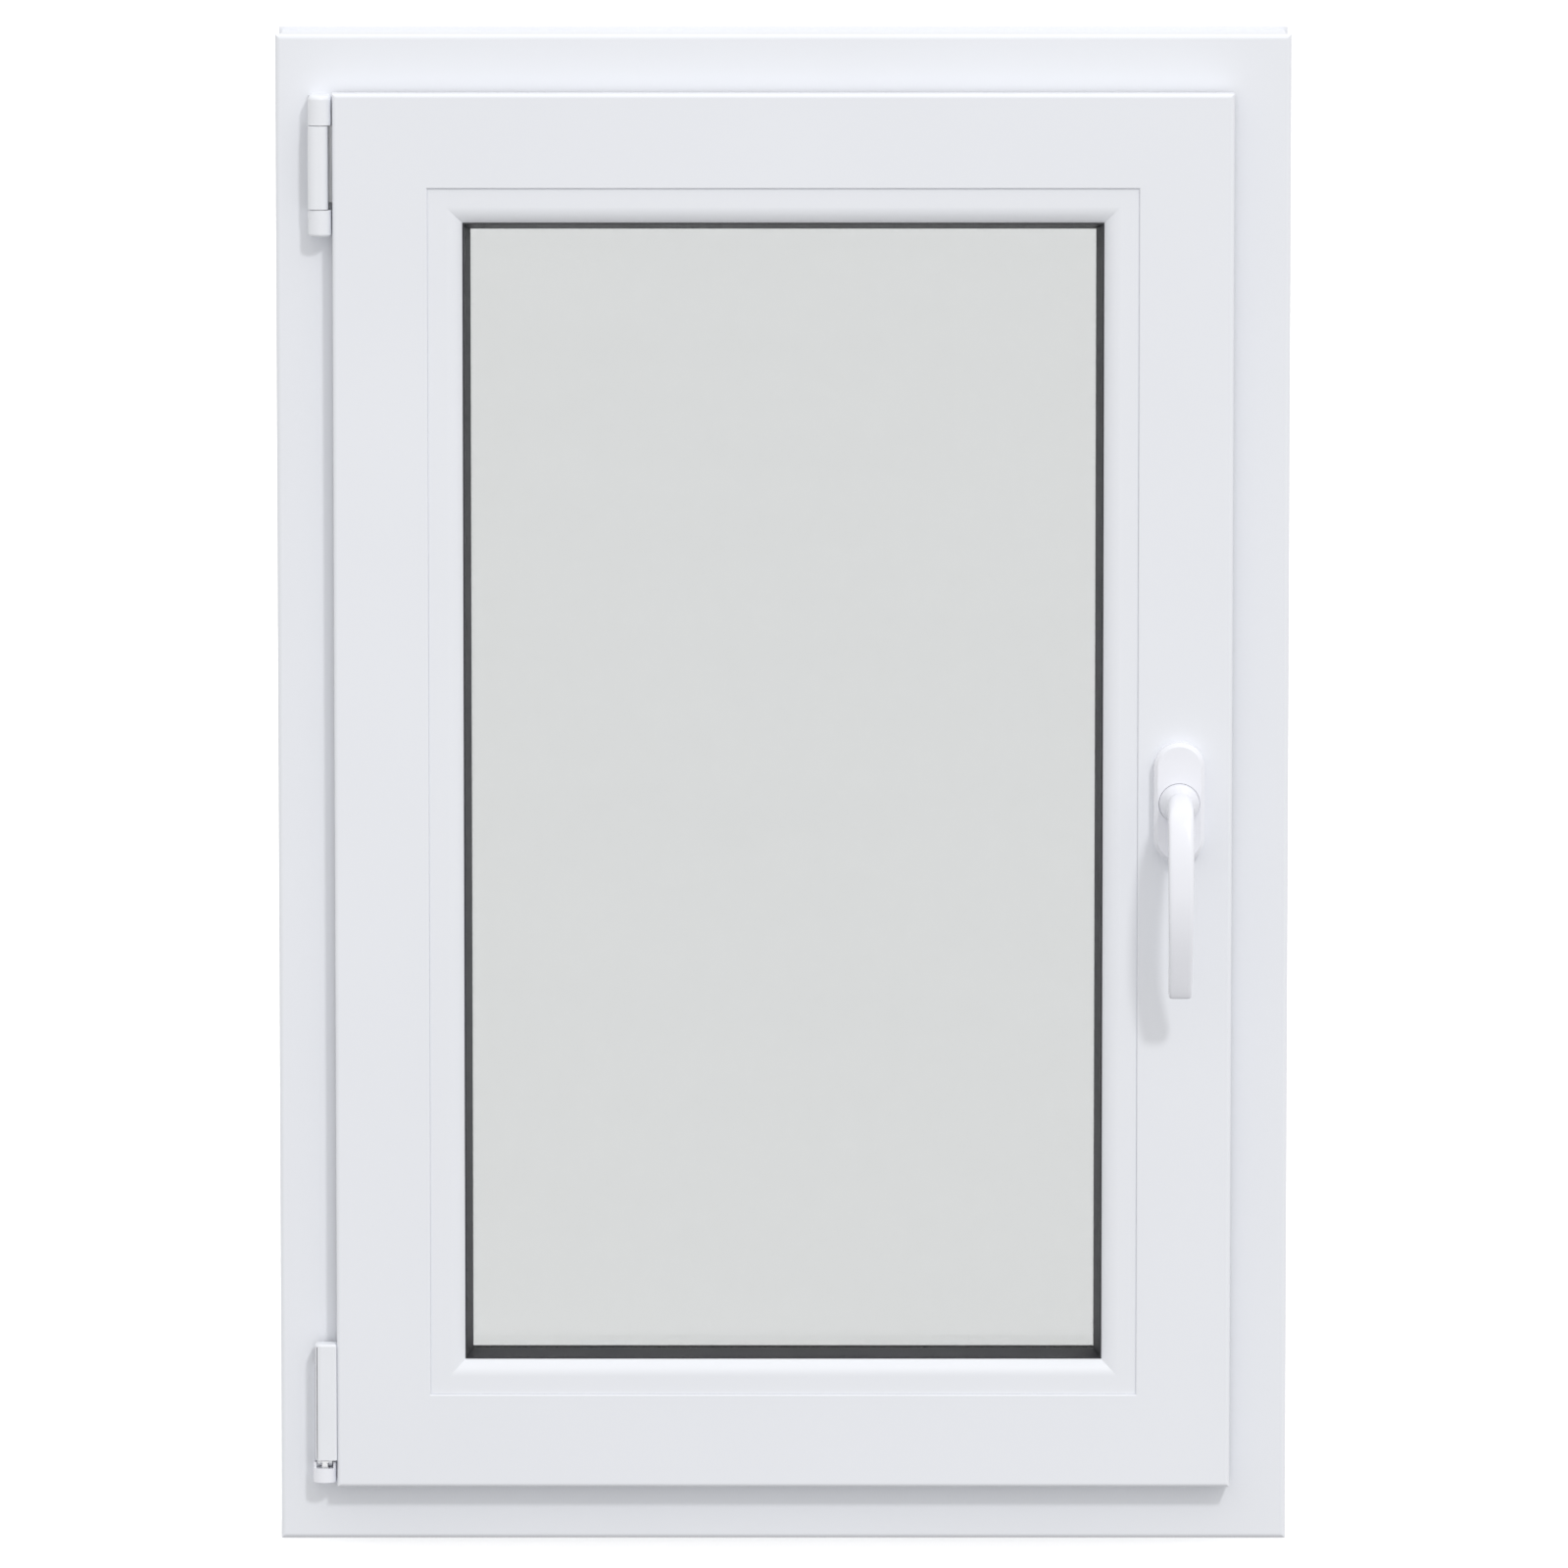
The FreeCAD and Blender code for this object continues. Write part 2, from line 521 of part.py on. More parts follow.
# ---------------------------------------------------------------- handle and gearbox
def make_handle():
    half = 15.0
    tall = 36.0
    outline = [(HANDLE_X - half, HANDLE_Z - tall, 14.9), (HANDLE_X + half, HANDLE_Z - tall, 14.9),
               (HANDLE_X + half, HANDLE_Z + tall, 14.9), (HANDLE_X - half, HANDLE_Z + tall, 14.9)]
    front = SASH_FACE - 10
    cover = front_plate(outline, front, SASH_FACE)
    rim = [e for e in cover.Edges if abs(e.CenterOfMass.y - at(front)) < 0.01]
    cover = cover.makeChamfer(2.2, rim)
    inset = 2.4
    hollow = [(HANDLE_X - half + inset, HANDLE_Z - tall + inset, 12.5),
              (HANDLE_X + half - inset, HANDLE_Z - tall + inset, 12.5),
              (HANDLE_X + half - inset, HANDLE_Z + tall - inset, 12.5),
              (HANDLE_X - half + inset, HANDLE_Z + tall - inset, 12.5)]
    cover = cover.cut(front_plate(hollow, front + 2.2, SASH_FACE))
    save("escutcheon_cover", cover.cut(rod_y(COLLAR_R + 0.2, HANDLE_X, HANDLE_Z, front - 1, front + 5)))

    base = front_plate(hollow, SASH_FACE - 4, SASH_FACE)
    base = joined(base, rod_y(COLLAR_R, HANDLE_X, HANDLE_Z, front - 2, SASH_FACE))
    base = base.cut(rod_y(8.0 + 0.06, HANDLE_X, HANDLE_Z, front - 3, SASH_FACE + 1))
    screws = []
    for offset in (-SCREW_PITCH / 2, SCREW_PITCH / 2):
        z = HANDLE_Z + offset
        head = Part.makeCone(4.6, 2.4, 2.4, Vector(HANDLE_X, at(SASH_FACE - 4), z), Vector(0, 1, 0))
        screw = joined(head, rod_y(2.4, HANDLE_X, z, SASH_FACE - 1.6, 14.5))
        cross = front_plate([(HANDLE_X - 2.2, z - 0.4), (HANDLE_X + 2.2, z - 0.4),
                             (HANDLE_X + 2.2, z + 0.4), (HANDLE_X - 2.2, z + 0.4)],
                            SASH_FACE - 4, SASH_FACE - 3)
        screws.append(screw.cut(cross))
        base = base.cut(joined(head, rod_y(2.5, HANDLE_X, z, SASH_FACE - 2, SASH_FACE)))
    save("escutcheon_base", base)
    save("escutcheon_screws", *screws)

    # lever: a flared neck on the collar, a round shoulder, then a bowed grip whose tip turns back
    neck_d = -36.0
    neck_r = 8.2
    side = [(HANDLE_Z - neck_r, neck_d), (HANDLE_Z - neck_r, -57.8, 9.0), (393.5, -75.7, 90.0),
            (LEVER_TIP_Z, -47.9, 3.0), (LEVER_TIP_Z, -59.4, 3.0), (394.0, -87.4, 104.0),
            (HANDLE_Z + neck_r, -63.1, 25.0), (HANDLE_Z + neck_r, neck_d)]
    wire = rounded_wire(side, lambda z, d: Vector(HANDLE_X - LEVER_WIDTH / 2, at(d), z))
    grip = Part.Face(wire).extrude(Vector(LEVER_WIDTH, 0, 0))
    edges = [e for e in grip.Edges
             if abs(abs(e.CenterOfMass.x - HANDLE_X) - LEVER_WIDTH / 2) < 0.01
             and e.BoundBox.YMin < at(neck_d) - 0.01]
    grip = grip.makeFillet(2.6, edges)
    flare = Part.makeCone(neck_r, COLLAR_R - 0.2, 12, Vector(HANDLE_X, at(-42.3), HANDLE_Z), Vector(0, 1, 0))
    grip = joined(grip, flare, rod_y(8.0, HANDLE_X, HANDLE_Z, neck_d, SASH_FACE - 0.3))
    socket = SPINDLE / 2 + 0.05
    square = box(HANDLE_X - socket, HANDLE_X + socket, -56, 0, HANDLE_Z - socket, HANDLE_Z + socket)
    save("handle_lever", grip.cut(square))
    side = SPINDLE / 2
    save("handle_spindle", box(HANDLE_X - side, HANDLE_X + side, -55.5, 15.4,
                               HANDLE_Z - side, HANDLE_Z + side))


BASE_R = PITCH_R * math.cos(math.radians(20))
PINION_OUTER = PITCH_R + 0.8
PINION_ROOT = PITCH_R - 1.3
RACK_PITCH_U = WIDTH / 2 - HANDLE_X - PITCH_R
TOOTH_PITCH = 2 * math.pi * PITCH_R / TEETH
PINION_TOOTH = 2.1          # tooth thickness on the pitch line, with backlash taken off
RACK_TOOTH = 2.2
GEAR_D = (6.0, 14.0)


def involute_half_angle(radius):
    """Half the angle that a pinion tooth covers at this radius."""
    def inv(r):
        pressure = math.acos(min(1.0, BASE_R / r))
        return math.tan(pressure) - pressure
    return PINION_TOOTH / (2 * PITCH_R) + inv(PITCH_R) - inv(max(radius, BASE_R))


def make_gearbox():
    # the pinion's gap, not a tooth, faces +X at rest, where the rack has a tooth
    radii = [PINION_ROOT, BASE_R, (BASE_R + PINION_OUTER) / 2, PINION_OUTER]
    points = []
    for tooth in range(TEETH):
        middle = (tooth + 0.5) * 2 * math.pi / TEETH
        flank = [(r, -involute_half_angle(r)) for r in radii]
        flank += [(r, involute_half_angle(r)) for r in reversed(radii)]
        for r, angle in flank:
            points.append((HANDLE_X + r * math.cos(middle + angle),
                           HANDLE_Z + r * math.sin(middle + angle)))
    pinion = front_plate(points, *GEAR_D)
    hub = rod_y(5.6, HANDLE_X, HANDLE_Z, 4.4, 15.6)
    square = SPINDLE / 2 + 0.05
    bore = box(HANDLE_X - square, HANDLE_X + square, 0, 20, HANDLE_Z - square, HANDLE_Z + square)
    save("gear_pinion", joined(pinion, hub).cut(bore))

    halves = []
    for d0, d1 in ((4.2, HARDWARE_LINE), (HARDWARE_LINE, 15.8)):
        half = box(WIDTH / 2 - GEARBOX_DEEP, WIDTH / 2 - 59, d0, d1,
                   HANDLE_Z - GEARBOX_HALF, HANDLE_Z + GEARBOX_HALF)
        half = half.cut([rod_y(PINION_OUTER + 0.5, HANDLE_X, HANDLE_Z, GEAR_D[0] - 0.3, GEAR_D[1] + 0.3),
                         rod_y(5.6 + RUNNING, HANDLE_X, HANDLE_Z, 4, 16)])
        for offset in (-SCREW_PITCH / 2, SCREW_PITCH / 2):
            half = half.cut(rod_y(2.5, HANDLE_X, HANDLE_Z + offset, 4, 16))
        halves.append(half)
    save("gearbox_housing", *halves)


# ---------------------------------------------------------------- drive rods, cams and keeps
def rack_teeth():
    """Trapezoid teeth on the lock rod, in mesh with the pinion."""
    teeth = []
    root = ROD_TOP + ROD_THICK - 0.05
    slope = math.tan(math.radians(20))
    tip = RACK_PITCH_U + 0.8
    for i in range(-3, 9):
        # the rod runs down as the handle turns up, so the teeth reach further above the pinion
        z = HANDLE_Z + i * TOOTH_PITCH
        half_root = RACK_TOOTH / 2 + (RACK_PITCH_U - root) * slope
        half_tip = RACK_TOOTH / 2 - (tip - RACK_PITCH_U) * slope
        corners = [(WIDTH / 2 - root, z - half_root), (WIDTH / 2 - tip, z - half_tip),
                   (WIDTH / 2 - tip, z + half_tip), (WIDTH / 2 - root, z + half_root)]
        teeth.append(front_plate(corners, *GEAR_D))
    return teeth


def drive_rod(side, a0, a1):
    half = ROD_WIDTH / 2
    return edge_block(side, a0, a1, HARDWARE_LINE - half, HARDWARE_LINE + half,
                      ROD_TOP, ROD_TOP + ROD_THICK)


def cam(side, along):
    """Mushroom-headed locking cam, riveted through the drive rod."""
    stem = on_edge(side, along, CAM_TOP + 2, ROD_TOP, 3.0)
    head = on_edge(side, along, CAM_TOP, CAM_TOP + 2, 4.5)
    return joined(stem, head)


def edge_slot(side, a0, a1, half):
    """Slot cutter through a faceplate, with round ends."""
    u0, u1 = SASH_SHELF - 1, STEP_FLOOR + 1
    middle = edge_block(side, a0 + half, a1 - half, HARDWARE_LINE - half, HARDWARE_LINE + half, u0, u1)
    return joined(middle, on_edge(side, a0 + half, u0, u1, half), on_edge(side, a1 - half, u0, u1, half))


def faceplate(side, a0, a1):
    return edge_block(side, a0, a1, HARDWARE_LINE - 8, HARDWARE_LINE + 8, SASH_SHELF + 0.2, STEP_FLOOR)


def along_right(z):
    """Position along the right side of a height z."""
    return z - MID_Z


def edge_screw(side, along, u=SASH_SHELF + 0.2):
    """Flat-headed screw, its head's top at u, driven through a plate into the profile."""
    head = on_edge(side, along, u, u + 1.0, 3.4)
    return joined(head, on_edge(side, along, u + 1.0, 80, 1.9))


CORNER_CENTRE_U = 75.0


def corner_drive(mirror_z):
    """L-shaped faceplate round one corner, with the curved guide of its spring strip."""
    x1 = WIDTH / 2 - SASH_SHELF - 0.2
    z0 = SASH_SHELF + 0.2
    thick = STEP_FLOOR - SASH_SHELF - 0.2
    d0, d1 = HARDWARE_LINE - 8, HARDWARE_LINE + 8
    upright = box(x1 - thick, x1, d0, d1, z0, z0 + CORNER_LEG - 0.4)
    level = box(x1 - CORNER_LEG + 0.4, x1, d0, d1, z0, z0 + thick)
    centre_x = WIDTH / 2 - CORNER_CENTRE_U
    centre = Vector(centre_x, at(HARDWARE_LINE - 5.8), CORNER_CENTRE_U)

    def quarter(radius, d_thick, lift):
        return Part.makeCylinder(radius, d_thick, centre + Vector(0, lift, 0), Vector(0, 1, 0), 90)

    guide = quarter(20.6, 11.6, 0).cut(quarter(16.5, 11.6, 0))
    guide = guide.cut(quarter(19.2, 9.0, 1.3).cut(quarter(18.2, 9.0, 1.3)))
    # turn the quarter to face the corner
    box_of = guide.BoundBox
    if box_of.XMin < centre_x - 1:
        guide = guide.mirror(Vector(centre_x, 0, 0), Vector(1, 0, 0))
    if box_of.ZMax > CORNER_CENTRE_U + 1:
        guide = guide.mirror(Vector(0, 0, CORNER_CENTRE_U), Vector(0, 0, 1))
    solid = joined(upright, level, guide)
    return solid.mirror(Vector(0, 0, MID_Z), Vector(0, 0, 1)) if mirror_z else solid


def cam_slot(side, along):
    """Slot that lets a cam at this place run back by a half turn's travel."""
    return edge_slot(side, along - HALF_TURN_TRAVEL - 4, along + 4, 3.4)


def rod_slot(side, along):
    """Slot in a drive rod that clears a fixed screw while the rod runs past it."""
    half = 2.4
    return edge_block(side, along - half, along + HALF_TURN_TRAVEL + half,
                      HARDWARE_LINE - half, HARDWARE_LINE + half,
                      ROD_TOP - 0.5, ROD_TOP + ROD_THICK + 0.5)


def make_drive():
    save("corner_drives", corner_drive(False), corner_drive(True))
    leg = SASH_SHELF + CORNER_LEG
    # every rod runs towards the start of its side by a half turn's travel:
    # down the lock side, towards the lock corner at the top, towards the hinge at the bottom
    rod_near = CORNER_CENTRE_U + HALF_TURN_TRAVEL + 3
    rod_far = CORNER_CENTRE_U + 1
    pin_x = HINGE_X + STAY_LENGTH
    sides = {
        "right": {
            "plate": (along_right(leg), along_right(HEIGHT - leg)),
            "rod": (along_right(rod_near), along_right(HEIGHT - rod_far)),
            "cams": [along_right(z) for z in LOCK_CAMS_Z],
            "screws": [along_right(z) for z in (150.0, 320.0, 575.0, 740.0)],
        },
        "top": {
            "plate": (leg - WIDTH / 2, 245),
            "rod": (rod_near - WIDTH / 2, -25),
            "cams": [-TOP_CAM_X],
            "screws": [-85.0, -5.0, 120.0, 225.0],
        },
        "bottom": {
            "plate": (-245, WIDTH / 2 - leg),
            "rod": (-120, WIDTH / 2 - rod_far),
            "cams": [BOTTOM_CAM_X],
            "screws": [-225.0, -155.0, 40.0, 130.0],
        },
    }
    plate_names = {"right": "lock_faceplate", "top": "stay_guide", "bottom": "bottom_faceplate"}
    rod_names = {"right": "lock_drive_rod", "top": "top_drive_rod", "bottom": "bottom_drive_rod"}
    cam_names = {"right": "lock_cams", "top": "top_cam", "bottom": "bottom_cam"}
    all_screws = leaf_screws()
    for side, places in sides.items():
        screws = [edge_screw(side, along) for along in places["screws"]]
        all_screws += screws
        openings = screws + [cam_slot(side, along) for along in places["cams"]]
        if side == "top":
            openings.append(edge_slot(side, -pin_x - 4.5, -pin_x + STAY_SLIDE + 4.5, 4.0))
        save(plate_names[side], faceplate(side, *places["plate"]).cut(openings))

        rod = drive_rod(side, *places["rod"])
        if side == "right":
            rod = joined(rod, *rack_teeth())
        rod = rod.cut([rod_slot(side, along) for along in places["screws"]])
        save(rod_names[side], rod)
        save(cam_names[side], *[cam(side, along) for along in places["cams"]])
    save("hardware_screws", *all_screws)


KEEP_LENGTH = 62.0
KEEP_LIP = 43.0             # u of the keep's lip, low enough for the cams to pass over


def keep(side, middle):
    """Striker plate on the rebate floor, with a low lip on its room side."""
    a0, a1 = middle - KEEP_LENGTH / 2, middle + KEEP_LENGTH / 2
    base = edge_block(side, a0, a1, 0.6, 19.4, REBATE_FLOOR, REBATE_FLOOR + 1.5)
    lip = edge_block(side, a0 + 8, a1 - 8, 0.6, 3.0, REBATE_FLOOR, KEEP_LIP)
    tail = edge_block(side, a0 + 8, a1 - 8, 17.0, 19.4, REBATE_FLOOR, KEEP_LIP)
    return joined(base, lip, tail)


def make_keeps():
    shift = HALF_TURN_TRAVEL / 2
    places = [("right", along_right(z) - shift) for z in LOCK_CAMS_Z]
    places.append(("top", -(TOP_CAM_X + shift)))
    screws = []
    plates = []
    tilt_place = ("bottom", BOTTOM_CAM_X - shift)
    for side, middle in places + [tilt_place]:
        plate_solid = keep(side, middle)
        for offset in (-KEEP_LENGTH / 2 + 4, KEEP_LENGTH / 2 - 4):
            shank = on_edge(side, middle + offset, 22, REBATE_FLOOR, 1.8)
            head = on_edge(side, middle + offset, REBATE_FLOOR, REBATE_FLOOR + 1.5, 3.0)
            screws.append(joined(shank, head))
            plate_solid = plate_solid.cut(head)
        plates.append(plate_solid)
    save("lock_keeps", *plates[:2])
    save("top_keep", plates[2])
    save("tilt_keep", plates[3])
    save("keep_screws", *screws)


os.makedirs("parts", exist_ok=True)
make_frame()
make_sash()
make_glass()
make_corner_hinge()
make_stay()
make_handle()
make_gearbox()
make_drive()
make_keeps()
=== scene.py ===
import math

import bmesh
import bpy
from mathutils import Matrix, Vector


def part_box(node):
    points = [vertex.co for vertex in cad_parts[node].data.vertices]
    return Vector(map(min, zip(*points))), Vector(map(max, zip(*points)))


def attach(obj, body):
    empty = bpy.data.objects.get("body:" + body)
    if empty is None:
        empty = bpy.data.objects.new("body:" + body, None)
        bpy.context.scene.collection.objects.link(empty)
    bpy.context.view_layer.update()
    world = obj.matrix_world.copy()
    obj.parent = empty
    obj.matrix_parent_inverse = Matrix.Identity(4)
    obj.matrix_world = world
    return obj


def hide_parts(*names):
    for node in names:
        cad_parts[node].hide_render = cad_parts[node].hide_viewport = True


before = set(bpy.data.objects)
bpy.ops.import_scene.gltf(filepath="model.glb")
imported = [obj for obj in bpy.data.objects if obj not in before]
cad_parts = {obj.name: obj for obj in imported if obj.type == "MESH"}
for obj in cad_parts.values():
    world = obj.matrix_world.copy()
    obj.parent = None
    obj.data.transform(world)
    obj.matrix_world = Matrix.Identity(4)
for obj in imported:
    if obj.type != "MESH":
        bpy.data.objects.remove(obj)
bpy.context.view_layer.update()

# ---------------------------------------------------------------- outer frame
# Four lengths of hollow PVC-U profile, sawn at 45 degrees and hot-plate welded at the corners.
# The bead of the weld is shaved off flush, so that no line crosses the corners, and the
# extruder's die rounds every long edge a little.
MM = 0.001
FRAME_LENGTHS = {"frame_head": "level", "frame_sill": "level",
                 "frame_jamb_hinge": "upright", "frame_jamb_lock": "upright"}
PROFILE_EASE = 0.35 * MM
WELD_DISTANCE = 0.001 * MM
FLAT_ANGLE = math.radians(0.4)
SHARP_ANGLE = math.radians(38)
SAME = 0.01                 # parts of a unit normal closer than this count as equal
DIE_LINE = 0.9 * MM         # spacing of the faint lines that the die leaves along a length
DIE_LENGTH = 500 * MM
BATCH_PATCH = 160 * MM


def linear(colour):
    """An sRGB hex colour as the linear RGBA that shaders take."""
    channels = [int(colour[i:i + 2], 16) / 255 for i in (1, 3, 5)]
    return [c / 12.92 if c <= 0.04045 else ((c + 0.055) / 1.055) ** 2.4 for c in channels] + [1.0]


def node(tree, kind, inputs=None, **settings):
    """Add one shader node: inputs gives a value, or another node's output, for each socket."""
    made = tree.nodes.new("ShaderNode" + kind)
    for name, value in settings.items():
        setattr(made, name, value)
    for name, value in (inputs or {}).items():
        if isinstance(value, bpy.types.NodeSocket):
            tree.links.new(value, made.inputs[name])
        else:
            made.inputs[name].default_value = value
    return made


def material(name, constants, pattern):
    """A material whose shader has these constants, and the links that pattern(tree) returns."""
    made = bpy.data.materials.new(name)
    made.use_nodes = True
    tree = made.node_tree
    tree.nodes.clear()
    shader = node(tree, "BsdfPrincipled", {**constants, **pattern(tree)})
    node(tree, "OutputMaterial", {"Surface": shader.outputs["BSDF"]})
    return made


def extruded_pattern(stretch):
    """Die lines along one axis, and a tone that drifts a little from place to place."""
    def pattern(tree):
        place = node(tree, "TexCoord").outputs["Object"]
        along = node(tree, "Mapping", {"Vector": place, "Scale": stretch}).outputs["Vector"]
        lines = node(tree, "TexNoise", {"Vector": along, "Scale": 1.0, "Detail": 2.0})
        drift = node(tree, "TexNoise", {"Vector": place, "Scale": 1 / BATCH_PATCH, "Detail": 1.0})
        tone = node(tree, "ValToRGB", {"Fac": drift.outputs["Fac"]})
        tone.color_ramp.elements[0].color = linear("#EEF0F5")
        tone.color_ramp.elements[1].color = linear("#F2F4F9")
        gloss = node(tree, "MapRange", {"Value": lines.outputs["Fac"], "To Min": 0.27, "To Max": 0.37})
        relief = node(tree, "Bump", {"Height": lines.outputs["Fac"], "Strength": 0.25,
                                     "Distance": 0.02 * MM})
        return {"Base Color": tone.outputs["Color"], "Roughness": gloss.outputs["Result"],
                "Normal": relief.outputs["Normal"]}
    return pattern


# Extruded PVC-U: a cool white with a satin gloss, and lines too fine to see except in the gloss.
ACROSS = 1 / DIE_LINE
ALONG = 1 / DIE_LENGTH
pvcu = {
    "upright": material("extruded_pvcu_upright", {"IOR": 1.53},
                        extruded_pattern((ACROSS, ACROSS, ALONG))),
    "level": material("extruded_pvcu_level", {"IOR": 1.53},
                      extruded_pattern((ALONG, ACROSS, ACROSS))),
}


def is_mitre(face):
    """Whether a face is a 45 degree cut, which the weld hides."""
    x, y, z = (abs(part) for part in face.normal)
    return y < SAME < x and abs(x - z) < SAME


def sharp_edges(work):
    """Every edge between two faces that meet at a sharp angle."""
    return [e for e in work.edges if len(e.link_faces) == 2 and e.calc_face_angle() > SHARP_ANGLE]


def as_object(name, work, finish):
    """Turn a finished bmesh into an object with one material."""
    mesh = bpy.data.meshes.new(name)
    work.to_mesh(mesh)
    work.free()
    mesh.materials.append(finish)
    made = bpy.data.objects.new(name, mesh)
    bpy.context.scene.collection.objects.link(made)
    return made


def eased(name, width, finish, body):
    """A CAD part with its triangles joined and its sharp edges rubbed down, as a piece of its own."""
    work = bmesh.new()
    work.from_mesh(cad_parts[name].data)
    bmesh.ops.remove_doubles(work, verts=work.verts, dist=WELD_DISTANCE)
    bmesh.ops.dissolve_limit(work, angle_limit=FLAT_ANGLE, verts=work.verts, edges=work.edges)
    rubbed = [e for e in sharp_edges(work) if not any(is_mitre(f) for f in e.link_faces)]
    bmesh.ops.bevel(work, geom=rubbed, offset=width, offset_type="OFFSET", segments=2,
                    profile=0.5, affect="EDGES", material=-1, clamp_overlap=True)
    for edge in sharp_edges(work):
        edge.smooth = False
    for face in work.faces:
        face.smooth = True
    piece = as_object(name + "_eased", work, finish)
    piece.modifiers.new("flat faces stay flat", "WEIGHTED_NORMAL").keep_sharp = True
    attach(piece, body)
    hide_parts(name)


for length, direction in FRAME_LENGTHS.items():
    eased(length, PROFILE_EASE, pvcu[direction], "frame")

# ---------------------------------------------------------------- reinforcement
# Galvanised steel channels pushed into the main chambers of the frame and the sash and screwed
# there, which keep the plastic straight. They are out of sight inside the profiles.
SPANGLE = 9 * MM


def zinc_pattern(tree):
    place = node(tree, "TexCoord").outputs["Object"]
    crystals = node(tree, "TexVoronoi", {"Vector": place, "Scale": 1 / SPANGLE})
    grain = node(tree, "TexNoise", {"Vector": place, "Scale": 1 / (0.6 * MM), "Detail": 3.0})
    tone = node(tree, "ValToRGB", {"Fac": crystals.outputs["Distance"]})
    tone.color_ramp.elements[0].color = linear("#C3C7CC")
    tone.color_ramp.elements[1].color = linear("#D6D8D9")
    gloss = node(tree, "MapRange", {"Value": grain.outputs["Fac"], "To Min": 0.28, "To Max": 0.46})
    relief = node(tree, "Bump", {"Height": grain.outputs["Fac"], "Strength": 0.3, "Distance": 0.02 * MM})
    return {"Base Color": tone.outputs["Color"], "Roughness": gloss.outputs["Result"],
            "Normal": relief.outputs["Normal"]}


# Zinc-plated steel: a bluish grey with large soft crystals and a slightly grainy shine.
zinc = material("zinc_plated_steel", {"Metallic": 1.0}, zinc_pattern)


def finish_nodes(finish, *names):
    """Give CAD parts whose shape is right their finish."""
    for name in names:
        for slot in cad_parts[name].material_slots:
            slot.material = finish


finish_nodes(zinc, "frame_reinforcement", "sash_reinforcement")

# ---------------------------------------------------------------- rebate gaskets
# Black EPDM rubber strips pushed into grooves: one on the frame's outside flange, one behind the
# sash's overlap. They close the gap between sash and frame, and their corners are cut at 45 degrees.
RUBBER_GRAIN = 0.35 * MM


def rubber_pattern(tree):
    place = node(tree, "TexCoord").outputs["Object"]
    grain = node(tree, "TexNoise", {"Vector": place, "Scale": 1 / RUBBER_GRAIN, "Detail": 4.0})
    bloom = node(tree, "TexNoise", {"Vector": place, "Scale": 1 / (25 * MM), "Detail": 3.0})
    tone = node(tree, "ValToRGB", {"Fac": bloom.outputs["Fac"]})
    tone.color_ramp.elements[0].color = linear("#2A2B2E")
    tone.color_ramp.elements[1].color = linear("#343539")
    gloss = node(tree, "MapRange", {"Value": grain.outputs["Fac"], "To Min": 0.42, "To Max": 0.58})
    relief = node(tree, "Bump", {"Height": grain.outputs["Fac"], "Strength": 0.35,
                                 "Distance": 0.02 * MM})
    return {"Base Color": tone.outputs["Color"], "Roughness": gloss.outputs["Result"],
            "Normal": relief.outputs["Normal"]}


# Extruded EPDM rubber: near black, dulled by a fine grain and a pale bloom in places.
rubber = material("extruded_epdm_rubber", {"IOR": 1.5}, rubber_pattern)
finish_nodes(rubber, "frame_gasket", "sash_gasket")

# ---------------------------------------------------------------- drain covers
# Two moulded covers snapped over the drain slots in the sill's outside wall. They shield the slots
# from driving rain.
MOULD_GRAIN = 0.5 * MM
DRAIN_EASE = 0.5 * MM


def moulded_pattern(tree):
    place = node(tree, "TexCoord").outputs["Object"]
    grain = node(tree, "TexNoise", {"Vector": place, "Scale": 1 / MOULD_GRAIN, "Detail": 3.0})
    drift = node(tree, "TexNoise", {"Vector": place, "Scale": 1 / (30 * MM), "Detail": 1.0})
    tone = node(tree, "ValToRGB", {"Fac": drift.outputs["Fac"]})
    tone.color_ramp.elements[0].color = linear("#EEF0F5")
    tone.color_ramp.elements[1].color = linear("#F3F5F9")
    gloss = node(tree, "MapRange", {"Value": grain.outputs["Fac"], "To Min": 0.3, "To Max": 0.42})
    relief = node(tree, "Bump", {"Height": grain.outputs["Fac"], "Strength": 0.2, "Distance": 0.02 * MM})
    return {"Base Color": tone.outputs["Color"], "Roughness": gloss.outputs["Result"],
            "Normal": relief.outputs["Normal"]}


# Injection-moulded ABS: much the same white as the profiles, with a fine spark-eroded grain.
moulded = material("moulded_white_abs", {"IOR": 1.54}, moulded_pattern)
eased("drain_caps", DRAIN_EASE, moulded, "frame")

# ---------------------------------------------------------------- sash
# Four welded lengths of a taller hollow profile, which overlap the frame by 6 mm all round and
# carry the glass, the hinges and the lock. The lock stile is milled for the gearbox.
SASH_LENGTHS = {"sash_rail_top": "level", "sash_rail_bottom": "level",
                "sash_stile_hinge": "upright", "sash_stile_lock": "upright"}
for length, direction in SASH_LENGTHS.items():
    eased(length, PROFILE_EASE, pvcu[direction], "sash")

# ---------------------------------------------------------------- sealed glass unit
# Two panes of 4 mm float glass 20 mm apart, with an aluminium spacer and polysulphide sealant round
# the edge. The unit stands on plastic packers in the sash's glazing rebate.
PERFORATION = 2.2 * MM      # pitch of the holes that lead to the drying agent in the spacer
ROLLER_WAVE = 180 * MM


def glass_pattern(tree):
    place = node(tree, "TexCoord").outputs["Object"]
    wave = node(tree, "TexNoise", {"Vector": place, "Scale": 1 / ROLLER_WAVE, "Detail": 0.0})
    relief = node(tree, "Bump", {"Height": wave.outputs["Fac"], "Strength": 0.2, "Distance": 0.05 * MM})
    return {"Normal": relief.outputs["Normal"]}


